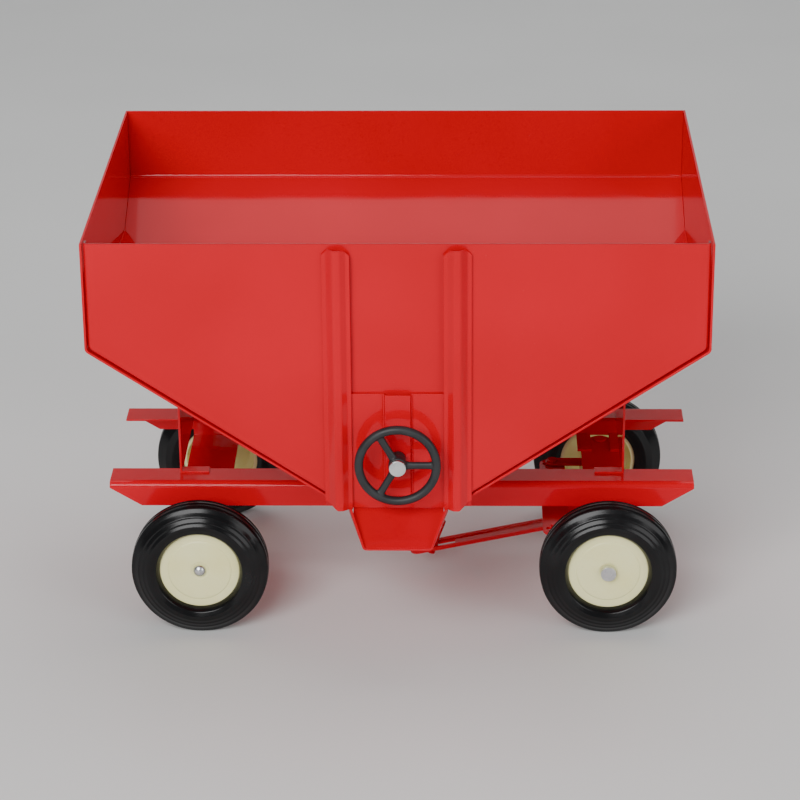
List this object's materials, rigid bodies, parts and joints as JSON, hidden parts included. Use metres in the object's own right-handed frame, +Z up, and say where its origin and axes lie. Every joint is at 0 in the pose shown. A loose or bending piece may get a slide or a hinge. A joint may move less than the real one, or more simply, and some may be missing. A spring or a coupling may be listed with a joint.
{
  "type": "toy gravity wagon",
  "caption": "Pressed-steel toy gravity feed wagon: sloped hopper, sliding discharge door with handwheel, chute, rail chassis, steerable front wheels and a folding tongue.",
  "frame": {"origin": "centre of the bounding box on the ground plane, under the wagon", "axes": "+X forward towards the steered wheels, +Y away from the discharge side, +Z up"},
  "size_m": [0.241, 0.1856, 0.178],
  "materials": {
    "red_enamel": "glossy baked enamel on pressed steel",
    "tyre_rubber": "smooth glossy moulded rubber",
    "hub_cream": "semi-gloss cream moulding",
    "handwheel_black": "satin black moulding",
    "zinc_plate": "bright zinc plating"
  },
  "bodies": {
    "wagon": {"discharge_panel": "red_enamel", "back_panel": "red_enamel", "front_end_sheet": "red_enamel", "rear_end_sheet": "red_enamel", "front_rib": "red_enamel", "rear_rib": "red_enamel", "chute": "red_enamel", "near_rail": "red_enamel", "far_rail": "red_enamel", "front_support": "red_enamel", "rear_support": "red_enamel", "rear_axle_bracket": "red_enamel", "rear_axle": "zinc_plate", "front_beam": "red_enamel", "near_kingpin": "red_enamel", "far_kingpin": "red_enamel", "centre_pin": "red_enamel"},
    "door": {"door": "red_enamel", "door_spindle": "zinc_plate"},
    "handwheel": {"handwheel": "handwheel_black"},
    "rear_near_wheel": {"rear_near_hub": "hub_cream", "rear_near_tyre": "tyre_rubber"},
    "rear_far_wheel": {"rear_far_hub": "hub_cream", "rear_far_tyre": "tyre_rubber"},
    "front_near_wheel": {"front_near_hub": "hub_cream", "front_near_tyre": "tyre_rubber"},
    "front_far_wheel": {"front_far_hub": "hub_cream", "front_far_tyre": "tyre_rubber"},
    "near_knuckle": {"near_knuckle": "red_enamel", "near_stub_axle": "zinc_plate", "near_cap": "zinc_plate", "near_arm_rivet": "red_enamel"},
    "far_knuckle": {"far_knuckle": "red_enamel", "far_stub_axle": "zinc_plate", "far_cap": "zinc_plate", "far_arm_rivet": "red_enamel"},
    "tie_rod": {"tie_rod": "red_enamel"},
    "steering_yoke": {"steering_yoke": "red_enamel", "drive_pin": "red_enamel", "tongue_pin": "red_enamel"},
    "tongue": {"tongue": "red_enamel", "hitch_peg": "red_enamel"}
  },
  "joints": [
    {"name": "door_slide", "type": "slide", "parent": "wagon", "child": "door", "axis": [0, 0, 1], "range_m": [0, 0.036]},
    {"name": "handwheel_spin", "type": "hinge", "parent": "door", "child": "handwheel", "pos_m": [0, -0.08124, 0.0908], "axis": [0, -1, 0], "continuous": true},
    {"name": "rear_near_roll", "type": "hinge", "parent": "wagon", "child": "rear_near_wheel", "pos_m": [-0.0818, -0.04524, 0.028], "axis": [0, 1, 0], "continuous": true},
    {"name": "rear_far_roll", "type": "hinge", "parent": "wagon", "child": "rear_far_wheel", "pos_m": [-0.0818, 0.06476, 0.028], "axis": [0, 1, 0], "continuous": true},
    {"name": "steer", "type": "hinge", "parent": "wagon", "child": "steering_yoke", "pos_m": [0.0842, 0.00976, 0.0316], "axis": [0, 0, 1], "range_deg": [-18, 18]},
    {"name": "near_kingpin_turn", "type": "hinge", "parent": "wagon", "child": "near_knuckle", "pos_m": [0.0842, -0.02224, 0.039], "axis": [0, 0, 1], "range_deg": [-18.5, 18.5]},
    {"name": "far_kingpin_turn", "type": "hinge", "parent": "wagon", "child": "far_knuckle", "pos_m": [0.0842, 0.04176, 0.039], "axis": [0, 0, 1], "range_deg": [-18.5, 18.5]},
    {"name": "tie_rod_shift", "type": "slide", "parent": "wagon", "child": "tie_rod", "axis": [0, -1, 0], "range_m": [-0.0065, 0.0065]},
    {"name": "front_near_roll", "type": "hinge", "parent": "near_knuckle", "child": "front_near_wheel", "pos_m": [0.0842, -0.04524, 0.028], "axis": [0, 1, 0], "continuous": true},
    {"name": "front_far_roll", "type": "hinge", "parent": "far_knuckle", "child": "front_far_wheel", "pos_m": [0.0842, 0.06476, 0.028], "axis": [0, 1, 0], "continuous": true},
    {"name": "tongue_hinge", "type": "hinge", "parent": "steering_yoke", "child": "tongue", "pos_m": [0.0922, 0.00976, 0.0275], "axis": [0, -1, 0], "range_deg": [0, 180]}
  ],
  "couplings": [
    {"joint": "near_kingpin_turn", "follows": "steer", "ratio": 1},
    {"joint": "far_kingpin_turn", "follows": "steer", "ratio": 1},
    {"joint": "tie_rod_shift", "follows": "steer", "m_per_rad": 0.0202}
  ]
}
